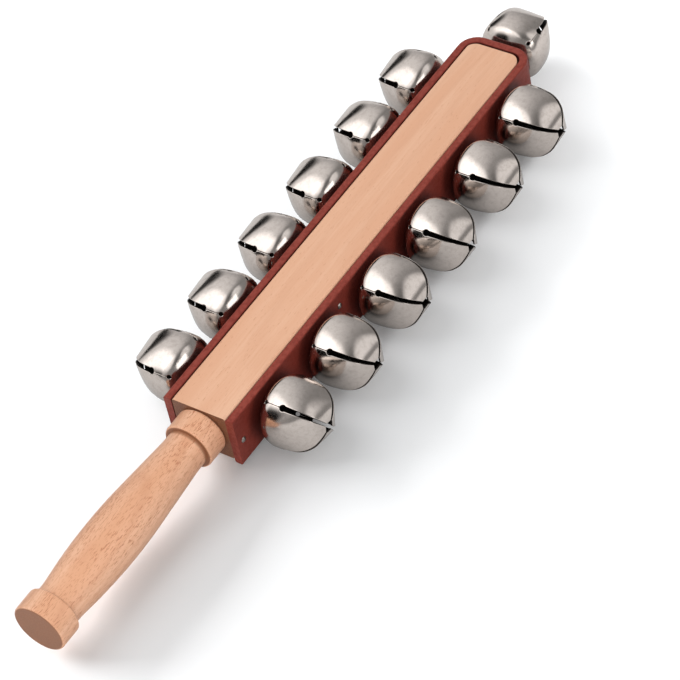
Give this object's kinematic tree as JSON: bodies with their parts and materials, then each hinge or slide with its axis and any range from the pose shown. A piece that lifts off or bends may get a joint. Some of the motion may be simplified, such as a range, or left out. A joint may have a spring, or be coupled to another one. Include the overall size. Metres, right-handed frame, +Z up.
{
  "type": "jingle bell stick",
  "caption": "Hand percussion stick: turned wooden handle, square block with a leather strap nailed round it, and slit metal bells with loose pellets on both sides and the tip.",
  "frame": {"origin": "centre of the stick's footprint, on the surface that its bells lie on", "axes": "+X along the stick from the handle to the tip bell, +Y across it to the left row of bells, +Z up through the bare top of the wood"},
  "size_m": [0.261, 0.0632, 0.0222],
  "materials": {
    "beech_block": "satin",
    "beech_handle": "satin",
    "leather": "semi-gloss",
    "nickel_plate": "polished",
    "nail_steel": "bright",
    "pin_steel": "plain",
    "pellet_steel": "plain"
  },
  "bodies": {
    "stick": {"stick_block": "beech_block", "handle": "beech_handle", "strap": "leather", "strap_nails": "nail_steel", "bell_pins": "pin_steel", "left_bell_1": "nickel_plate", "left_bell_2": "nickel_plate", "left_bell_3": "nickel_plate", "left_bell_4": "nickel_plate", "left_bell_5": "nickel_plate", "left_bell_6": "nickel_plate", "right_bell_1": "nickel_plate", "right_bell_2": "nickel_plate", "right_bell_3": "nickel_plate", "right_bell_4": "nickel_plate", "right_bell_5": "nickel_plate", "right_bell_6": "nickel_plate", "tip_bell": "nickel_plate"},
    "left_pellet_1_body": {"left_pellet_1": "pellet_steel"},
    "left_pellet_2_body": {"left_pellet_2": "pellet_steel"},
    "left_pellet_3_body": {"left_pellet_3": "pellet_steel"},
    "left_pellet_4_body": {"left_pellet_4": "pellet_steel"},
    "left_pellet_5_body": {"left_pellet_5": "pellet_steel"},
    "left_pellet_6_body": {"left_pellet_6": "pellet_steel"},
    "right_pellet_1_body": {"right_pellet_1": "pellet_steel"},
    "right_pellet_2_body": {"right_pellet_2": "pellet_steel"},
    "right_pellet_3_body": {"right_pellet_3": "pellet_steel"},
    "right_pellet_4_body": {"right_pellet_4": "pellet_steel"},
    "right_pellet_5_body": {"right_pellet_5": "pellet_steel"},
    "right_pellet_6_body": {"right_pellet_6": "pellet_steel"},
    "tip_pellet_body": {"tip_pellet": "pellet_steel"}
  },
  "joints": [
    {"name": "left_pellet_1_slide", "type": "slide", "parent": "stick", "child": "left_pellet_1_body", "axis": [0, 0, 1], "range_m": [0, 0.01336]},
    {"name": "left_pellet_2_slide", "type": "slide", "parent": "stick", "child": "left_pellet_2_body", "axis": [0, 0, 1], "range_m": [0, 0.01327]},
    {"name": "left_pellet_3_slide", "type": "slide", "parent": "stick", "child": "left_pellet_3_body", "axis": [0, 0, 1], "range_m": [0, 0.01323]},
    {"name": "left_pellet_4_slide", "type": "slide", "parent": "stick", "child": "left_pellet_4_body", "axis": [0, 0, 1], "range_m": [0, 0.01332]},
    {"name": "left_pellet_5_slide", "type": "slide", "parent": "stick", "child": "left_pellet_5_body", "axis": [0, 0, 1], "range_m": [0, 0.01321]},
    {"name": "left_pellet_6_slide", "type": "slide", "parent": "stick", "child": "left_pellet_6_body", "axis": [0, 0, 1], "range_m": [0, 0.01332]},
    {"name": "right_pellet_1_slide", "type": "slide", "parent": "stick", "child": "right_pellet_1_body", "axis": [0, 0, 1], "range_m": [0, 0.01344]},
    {"name": "right_pellet_2_slide", "type": "slide", "parent": "stick", "child": "right_pellet_2_body", "axis": [0, 0, 1], "range_m": [0, 0.0132]},
    {"name": "right_pellet_3_slide", "type": "slide", "parent": "stick", "child": "right_pellet_3_body", "axis": [0, 0, 1], "range_m": [0, 0.01321]},
    {"name": "right_pellet_4_slide", "type": "slide", "parent": "stick", "child": "right_pellet_4_body", "axis": [0, 0, 1], "range_m": [0, 0.0132]},
    {"name": "right_pellet_5_slide", "type": "slide", "parent": "stick", "child": "right_pellet_5_body", "axis": [0, 0, 1], "range_m": [0, 0.01321]},
    {"name": "right_pellet_6_slide", "type": "slide", "parent": "stick", "child": "right_pellet_6_body", "axis": [0, 0, 1], "range_m": [0, 0.01325]},
    {"name": "tip_pellet_slide", "type": "slide", "parent": "stick", "child": "tip_pellet_body", "axis": [0, 0, 1], "range_m": [0, 0.01323]}
  ]
}
